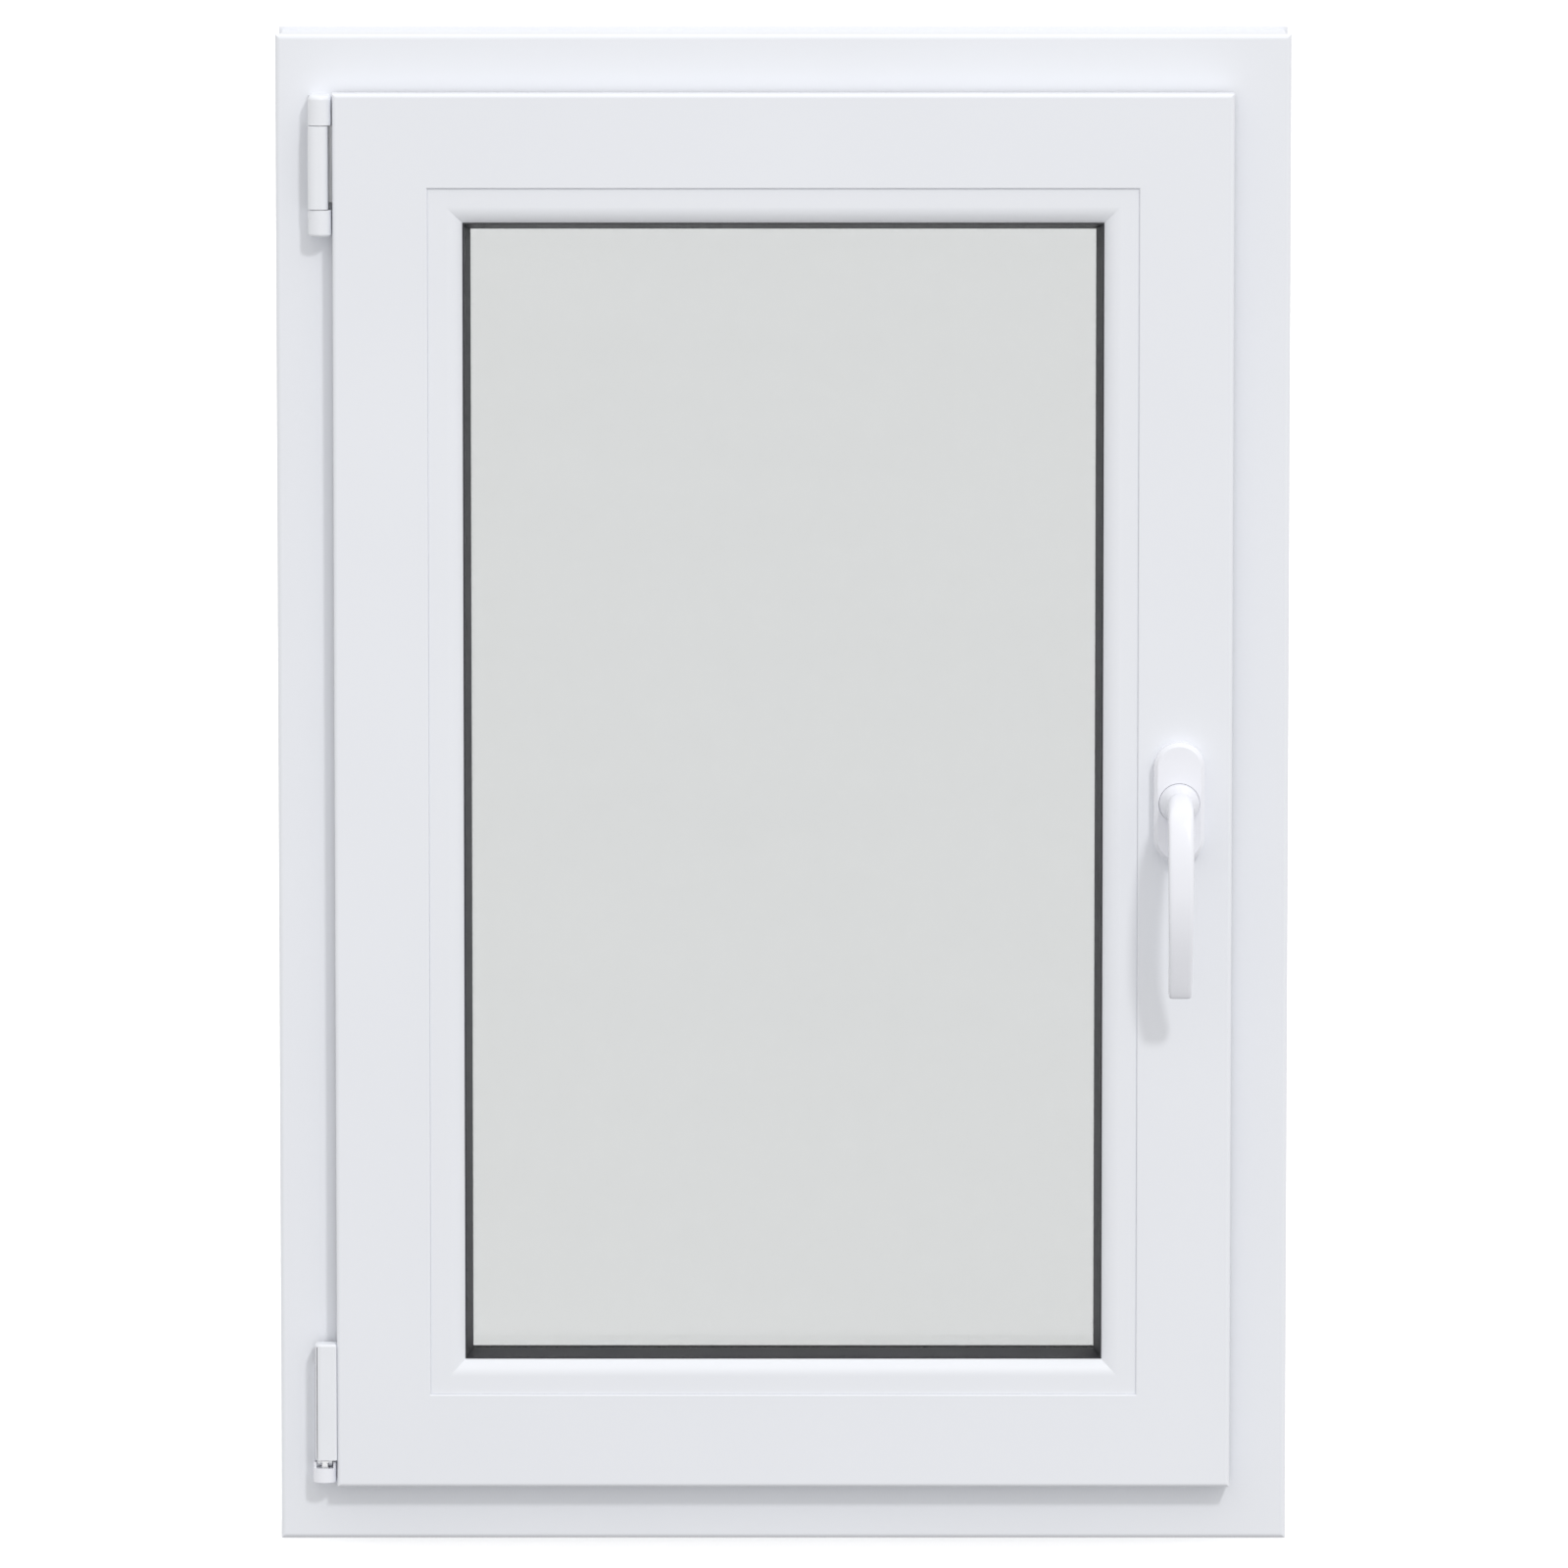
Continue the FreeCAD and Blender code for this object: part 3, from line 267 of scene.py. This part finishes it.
# Clear float glass: colourless, with long shallow waves. The tint is darker than real glass has, to
# make up for the floor behind it, which is brighter than white.
glass = material("float_glass", {"Base Color": linear("#E0E1E1"), "IOR": 1.52, "Roughness": 0.0,
                                 "Transmission Weight": 1.0}, glass_pattern)


def spacer_pattern(tree):
    place = node(tree, "TexCoord").outputs["Object"]
    holes = node(tree, "TexVoronoi", {"Vector": place, "Scale": 1 / PERFORATION, "Randomness": 0.0})
    grain = node(tree, "TexNoise", {"Vector": place, "Scale": 1 / (0.4 * MM), "Detail": 2.0})
    tone = node(tree, "ValToRGB", {"Fac": holes.outputs["Distance"]})
    tone.color_ramp.elements[0].position = 0.16
    tone.color_ramp.elements[0].color = linear("#4A4B4D")
    tone.color_ramp.elements[1].position = 0.22
    tone.color_ramp.elements[1].color = linear("#C9CBCD")
    gloss = node(tree, "MapRange", {"Value": grain.outputs["Fac"], "To Min": 0.3, "To Max": 0.45})
    return {"Base Color": tone.outputs["Color"], "Roughness": gloss.outputs["Result"]}


# Roll-formed aluminium: bright satin metal pricked with rows of small dark holes.
spacer = material("roll_formed_aluminium", {"Metallic": 1.0}, spacer_pattern)


def sealant_pattern(tree):
    place = node(tree, "TexCoord").outputs["Object"]
    lumps = node(tree, "TexNoise", {"Vector": place, "Scale": 1 / (6 * MM), "Detail": 3.0})
    tone = node(tree, "ValToRGB", {"Fac": lumps.outputs["Fac"]})
    tone.color_ramp.elements[0].color = linear("#26262A")
    tone.color_ramp.elements[1].color = linear("#333337")
    gloss = node(tree, "MapRange", {"Value": lumps.outputs["Fac"], "To Min": 0.45, "To Max": 0.7})
    relief = node(tree, "Bump", {"Height": lumps.outputs["Fac"], "Strength": 0.5, "Distance": 0.3 * MM})
    return {"Base Color": tone.outputs["Color"], "Roughness": gloss.outputs["Result"],
            "Normal": relief.outputs["Normal"]}


# Gunned polysulphide: a dull black with the ripples of the trowel.
sealant = material("gunned_polysulphide", {"IOR": 1.55}, sealant_pattern)


def packer_pattern(tree):
    place = node(tree, "TexCoord").outputs["Object"]
    ribs = node(tree, "TexWave", {"Vector": place, "Scale": 1 / (4 * MM)}, bands_direction="X")
    grain = node(tree, "TexNoise", {"Vector": place, "Scale": 1 / (0.8 * MM), "Detail": 2.0})
    tone = node(tree, "ValToRGB", {"Fac": grain.outputs["Fac"]})
    tone.color_ramp.elements[0].color = linear("#2A4E9C")
    tone.color_ramp.elements[1].color = linear("#3159AC")
    relief = node(tree, "Bump", {"Height": ribs.outputs["Fac"], "Strength": 0.5, "Distance": 0.2 * MM})
    return {"Base Color": tone.outputs["Color"], "Normal": relief.outputs["Normal"]}


# Moulded polypropylene: a flat blue, colour-coded by thickness, with shallow ribs.
packer = material("moulded_polypropylene", {"IOR": 1.49, "Roughness": 0.5}, packer_pattern)
finish_nodes(glass, "glass_pane_room", "glass_pane_outside")
finish_nodes(spacer, "glass_spacer")
finish_nodes(sealant, "glass_edge_seal")
finish_nodes(packer, "glazing_packers")
# A traced pane would cast a shadow that clear glass doesn't.
for pane in ("glass_pane_room", "glass_pane_outside"):
    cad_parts[pane].visible_shadow = False

# ---------------------------------------------------------------- glazing beads
# Four rounded PVC-U strips that snap into the sash and hold the glass, mitred by hand and not
# welded. A black rubber wedge runs down the beads' inner edges on to the glass, and another strip
# seals the outside.
BEADS = {"bead_top": "level", "bead_bottom": "level", "bead_left": "upright", "bead_right": "upright"}
BEAD_EASE = 0.14 * MM
for length, direction in BEADS.items():
    eased(length, BEAD_EASE, pvcu[direction], "sash")
finish_nodes(rubber, "glass_gasket_room", "glass_gasket_outside")

# ---------------------------------------------------------------- hinge metalwork
# Zinc-coated steel bearings screwed to the frame, turned pins, and a pressed leaf and arm on the
# sash. At the top the stay arm slides along its guide as the sash tilts.
ROLLING_LINE = 0.5 * MM


def hardware_pattern(tree):
    place = node(tree, "TexCoord").outputs["Object"]
    rolled = node(tree, "Mapping", {"Vector": place, "Scale": (1 / ROLLING_LINE, 1 / ROLLING_LINE,
                                                               1 / (40 * MM))}).outputs["Vector"]
    lines = node(tree, "TexNoise", {"Vector": rolled, "Scale": 1.0, "Detail": 2.0})
    cloud = node(tree, "TexNoise", {"Vector": place, "Scale": 1 / (18 * MM), "Detail": 2.0})
    tone = node(tree, "ValToRGB", {"Fac": cloud.outputs["Fac"]})
    tone.color_ramp.elements[0].color = linear("#BEC0C4")
    tone.color_ramp.elements[1].color = linear("#CFD0D2")
    gloss = node(tree, "MapRange", {"Value": lines.outputs["Fac"], "To Min": 0.26, "To Max": 0.44})
    relief = node(tree, "Bump", {"Height": lines.outputs["Fac"], "Strength": 0.3, "Distance": 0.02 * MM})
    return {"Base Color": tone.outputs["Color"], "Roughness": gloss.outputs["Result"],
            "Normal": relief.outputs["Normal"]}


# Silver-passivated pressed steel: a pale satin grey with the faint lines of the rolling mill.
hardware = material("silver_passivated_steel", {"Metallic": 1.0}, hardware_pattern)


def turned_pattern(tree):
    place = node(tree, "TexCoord").outputs["Object"]
    rings = node(tree, "TexNoise", {"Vector": place, "Scale": 1 / (0.3 * MM), "Detail": 2.0})
    tone = node(tree, "ValToRGB", {"Fac": rings.outputs["Fac"]})
    tone.color_ramp.elements[0].color = linear("#DADBDC")
    tone.color_ramp.elements[1].color = linear("#E4E4E5")
    gloss = node(tree, "MapRange", {"Value": rings.outputs["Fac"], "To Min": 0.16, "To Max": 0.3})
    return {"Base Color": tone.outputs["Color"], "Roughness": gloss.outputs["Result"]}


# Turned bright steel: the brightest metal here, smooth but for tool marks that break its shine.
turned = material("turned_bright_steel", {"Metallic": 1.0}, turned_pattern)
finish_nodes(hardware, "stay_bearing", "stay_arm", "sash_hinge_leaf")
finish_nodes(turned, "stay_bearing_pin", "corner_pivot_pin", "tilt_cross_pin", "stay_slide_pin")
finish_nodes(zinc, "bearing_screws", "keep_screws", "hardware_screws", "escutcheon_screws")

# ---------------------------------------------------------------- hinge covers
# White plastic covers pressed over the top bearing, the stay arm and the bottom hinge leaf, and the
# powder-coated bottom bearing that shows as it is.
COVER_EASE = 0.16 * MM
JOINT_EASE = 0.05 * MM      # where two covers meet end to end
PEEL = 1.4 * MM
eased("stay_bearing_caps", JOINT_EASE, moulded, "frame")
eased("stay_arm_cover", JOINT_EASE, moulded, "stay")
eased("sash_hinge_cap", COVER_EASE, moulded, "sash")


def powder_pattern(tree):
    place = node(tree, "TexCoord").outputs["Object"]
    peel = node(tree, "TexNoise", {"Vector": place, "Scale": 1 / PEEL, "Detail": 1.0})
    drift = node(tree, "TexNoise", {"Vector": place, "Scale": 1 / (20 * MM), "Detail": 1.0})
    tone = node(tree, "ValToRGB", {"Fac": drift.outputs["Fac"]})
    tone.color_ramp.elements[0].color = linear("#F2F3F9")
    tone.color_ramp.elements[1].color = linear("#F6F7FD")
    gloss = node(tree, "MapRange", {"Value": peel.outputs["Fac"], "To Min": 0.2, "To Max": 0.28})
    relief = node(tree, "Bump", {"Height": peel.outputs["Fac"], "Strength": 0.15, "Distance": 0.03 * MM})
    return {"Base Color": tone.outputs["Color"], "Roughness": gloss.outputs["Result"],
            "Normal": relief.outputs["Normal"]}


# Powder coat on die-cast zinc: the whitest and glossiest finish, with a soft orange peel.
powder = material("white_powder_coat", {"IOR": 1.5}, powder_pattern)
eased("corner_bearing", COVER_EASE, powder, "frame")

# ---------------------------------------------------------------- lock gear
# Pressed steel rods slide behind faceplates round three edges of the sash, driven by the handle's
# pinion, and their mushroom cams run into keeps screwed to the frame.
finish_nodes(hardware, "lock_faceplate", "stay_guide", "bottom_faceplate", "corner_drives",
             "lock_drive_rod", "top_drive_rod", "bottom_drive_rod", "gearbox_housing",
             "lock_keeps", "top_keep", "tilt_keep")
finish_nodes(turned, "lock_cams", "top_cam", "bottom_cam", "gear_pinion", "handle_spindle")

# ---------------------------------------------------------------- handle
# A die-cast lever in white powder coat turns in a round collar, and a cover hides the two screws.
# The lever leaves the collar as a flared neck, bends down over a round shoulder and ends in a
# bowed grip whose tip turns back towards the sash.
PLATE_EASE = 0.15 * MM
COLLAR_EASE = 0.1 * MM
eased("escutcheon_cover", PLATE_EASE, powder, "sash")
eased("escutcheon_base", COLLAR_EASE, powder, "sash")

FLARE_RADIUS = 11.8 * MM    # the neck's widest, which is the lever's highest point
lever_low, lever_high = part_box("handle_lever")
AXIS_X = (lever_low.x + lever_high.x) / 2
AXIS_Z = lever_high.z - FLARE_RADIUS
FRONT = lever_low.y
GRIP_ROUNDNESS = 5.0        # 2 is an ellipse, more is a rectangle with rounded corners
RING = 24
CAGE = 1.011                # a smoothed cage shrinks by this much

# the neck from the bore to the shoulder: (how far behind the grip's front, radius), in mm
NECK = [(59.8, 7.9), (48.3, 7.9), (48.15, 8.2), (48.08, 11.2), (47.9, 11.65), (46.9, 11.5), (44.6, 10.6),
        (41.5, 9.65), (38.0, 8.7), (34.5, 8.2)]
# centres of the lever's front and back curves: (below the axis, behind the front, radius), in mm
SHOULDER = [(16.8, 31.9, 25.0), (17.2, 26.4, 9.0)]
BOW = [(49.4, 104.2, 103.8), (50.2, 100.6, 89.6)]
SHOULDER_HALF = 7.7 * MM
# sections down the shoulder: (how far the outward normal rises in degrees, how square)
SHOULDER_STEPS = [(90, 2.2), (73, 2.6), (56, 3.2), (39, 4.0), (26, 4.6)]
# sections down the bow: (how far the outward normal rises in degrees, half the width in mm)
BOW_STEPS = [(17, 7.6), (9, 7.55), (1, 7.45), (-7, 7.3), (-15, 7.15), (-24, 7.0)]
# the tip: (front point, back point), each (below the axis, behind the front), with half the width
TIP = [((104.5, 14.9), (102.5, 25.5), 6.95), ((110.3, 17.9), (107.9, 27.8), 6.85),
       ((112.2, 19.5), (110.7, 28.0), 6.6), ((112.85, 21.2), (112.4, 26.8), 5.6)]


def on_curve(centre, degrees):
    """A point (z, y) of a curve whose outward normal rises by this angle."""
    below, behind, radius = centre
    angle = math.radians(degrees)
    return (AXIS_Z + (radius * math.sin(angle) - below) * MM,
            FRONT + (behind - radius * math.cos(angle)) * MM)


def lever_sections():
    """Front point and back point (z, y), half the width, and how square the section is."""
    sections = [((AXIS_Z + r * MM, FRONT + y * MM), (AXIS_Z - r * MM, FRONT + y * MM), r * MM, 2.0)
                for y, r in NECK]
    for degrees, square in SHOULDER_STEPS:
        points = [on_curve(centre, degrees) for centre in SHOULDER]
        sections.append((*points, SHOULDER_HALF, square))
    for degrees, half in BOW_STEPS:
        points = [on_curve(centre, degrees) for centre in BOW]
        sections.append((*points, half * MM, GRIP_ROUNDNESS))
    for ahead, behind, half in TIP:
        points = [(AXIS_Z - below * MM, FRONT + back * MM) for below, back in (ahead, behind)]
        sections.append((*points, half * MM, GRIP_ROUNDNESS))
    return sections


def place_ring(verts, section):
    """Set a ring's vertices round the section's outline."""
    ahead, behind, half, square = section
    for i, vert in enumerate(verts):
        angle = 2 * math.pi * i / RING
        across, through = (math.copysign(abs(v) ** (2 / square), v)
                           for v in (math.cos(angle), math.sin(angle)))
        middle = [(a + b) / 2 for a, b in zip(ahead, behind)]
        reach = [(a - b) / 2 * through * CAGE for a, b in zip(ahead, behind)]
        vert.co = (AXIS_X + half * across * CAGE, middle[1] + reach[1], middle[0] + reach[0])


work = bmesh.new()
ring = bmesh.ops.create_circle(work, segments=RING, radius=1.0)["verts"]
sections = lever_sections()
place_ring(ring, sections[0])
edges = work.edges[:]
bmesh.ops.edgeloop_fill(work, edges=edges)
for section in sections[1:]:
    grown = bmesh.ops.extrude_edge_only(work, edges=edges)["geom"]
    edges = [g for g in grown if isinstance(g, bmesh.types.BMEdge) and g.is_boundary]
    place_ring([g for g in grown if isinstance(g, bmesh.types.BMVert)], section)
bmesh.ops.edgeloop_fill(work, edges=edges)
bmesh.ops.recalc_face_normals(work, faces=work.faces)
# the extrusion lists edges and faces in no fixed order, so they are put in the vertices' order
work.verts.index_update()
for parts in (work.edges, work.faces):
    parts.sort(key=lambda part: (min(v.index for v in part.verts) * len(work.verts)
                                 + max(v.index for v in part.verts)))
for face in work.faces:
    face.smooth = True
lever = as_object("handle_lever_smooth", work, powder)
smooth = lever.modifiers.new("cast surface", "SUBSURF")
smooth.levels = smooth.render_levels = 2
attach(lever, "handle")
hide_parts("handle_lever")

# ---------------------------------------------------------------- studio
# A white floor that glows a little and that the key lamp doesn't reach, one soft key lamp high on
# the right in front, and a white surround that is brighter from above.
KEY_DIRECTION = Vector((0.38, -1.0, 0.8)).normalized()
KEY_TARGET = Vector((0.0, -0.07, 0.45))
KEY_DISTANCE = 12.0
KEY_SIZE = 1.2
KEY_POWER = 350.0
SURROUND = 0.7
CEILING = 0.6               # how much brighter the surround is straight up than level
SEEN_STRENGTH = 1.0         # the surround as the camera sees it, and through glass
FLOOR_GLOW = 0.31
FLOOR_RADIUS = 60.0


def floor_pattern(tree):
    place = node(tree, "TexCoord").outputs["Object"]
    grain = node(tree, "TexNoise", {"Vector": place, "Scale": 1 / (400 * MM), "Detail": 1.0})
    tone = node(tree, "ValToRGB", {"Fac": grain.outputs["Fac"]})
    tone.color_ramp.elements[0].color = linear("#F2F2F2")
    tone.color_ramp.elements[1].color = linear("#F5F5F5")
    return {"Base Color": tone.outputs["Color"]}


# Matt white paint: no shine at all, so that nothing is mirrored below the object.
matt_floor = material("matt_white_floor", {
    "Roughness": 0.9, "Specular IOR Level": 0.0, "Emission Color": linear("#FFFFFF"),
    "Emission Strength": FLOOR_GLOW,
}, floor_pattern)
work = bmesh.new()
bmesh.ops.create_circle(work, cap_ends=True, segments=96, radius=FLOOR_RADIUS)
floor = as_object("studio_floor", work, matt_floor)
floor.visible_diffuse = False
floor.visible_shadow = False

key_data = bpy.data.lights.new("key_lamp", "AREA")
key_data.shape = "DISK"
key_data.size = KEY_SIZE
key_data.energy = KEY_POWER
key = bpy.data.objects.new("key_lamp", key_data)
bpy.context.scene.collection.objects.link(key)
key.location = KEY_TARGET + KEY_DIRECTION * KEY_DISTANCE
key.rotation_euler = KEY_DIRECTION.to_track_quat("Z", "Y").to_euler()
unlit = bpy.data.collections.new("not_lit_by_key")
unlit.objects.link(floor)
key.light_linking.receiver_collection = unlit
unlit.collection_objects[0].light_linking.link_state = "EXCLUDE"

world = bpy.data.worlds.new("white_surround")
bpy.context.scene.world = world
world.use_nodes = True
sky = world.node_tree
sky.nodes.clear()
ray = node(sky, "LightPath").outputs
seen = node(sky, "Math", {0: ray["Is Camera Ray"], 1: ray["Is Transmission Ray"]},
            operation="MAXIMUM")
towards = node(sky, "SeparateXYZ", {0: node(sky, "TexCoord").outputs["Generated"]})
soft = node(sky, "MapRange", {"Value": towards.outputs["Z"], "From Min": -1.0, "From Max": 1.0,
                              "To Min": SURROUND * (1 - CEILING),
                              "To Max": SURROUND * (1 + CEILING)})
strength = node(sky, "MapRange", {"Value": seen.outputs[0], "To Min": soft.outputs["Result"],
                                  "To Max": SEEN_STRENGTH})
surround = node(sky, "Background", {"Color": linear("#FFFFFF"),
                                    "Strength": strength.outputs["Result"]})
node(sky, "OutputWorld", {"Surface": surround.outputs["Background"]})

CAMERA_TARGET = Vector((0.0004, -0.07, 0.4544))
CAMERA_RISE = math.radians(7.0)
CAMERA_DISTANCE = 8.0
camera_data = bpy.data.cameras.new("camera")
camera_data.lens = 309.2
camera_data.clip_end = 200.0
camera = bpy.data.objects.new("camera", camera_data)
bpy.context.scene.collection.objects.link(camera)
camera_back = Vector((0.0, -math.cos(CAMERA_RISE), math.sin(CAMERA_RISE)))
camera.location = CAMERA_TARGET + camera_back * CAMERA_DISTANCE
camera.rotation_euler = camera_back.to_track_quat("Z", "Y").to_euler()
bpy.context.scene.camera = camera
bpy.context.scene.view_settings.view_transform = "Standard"
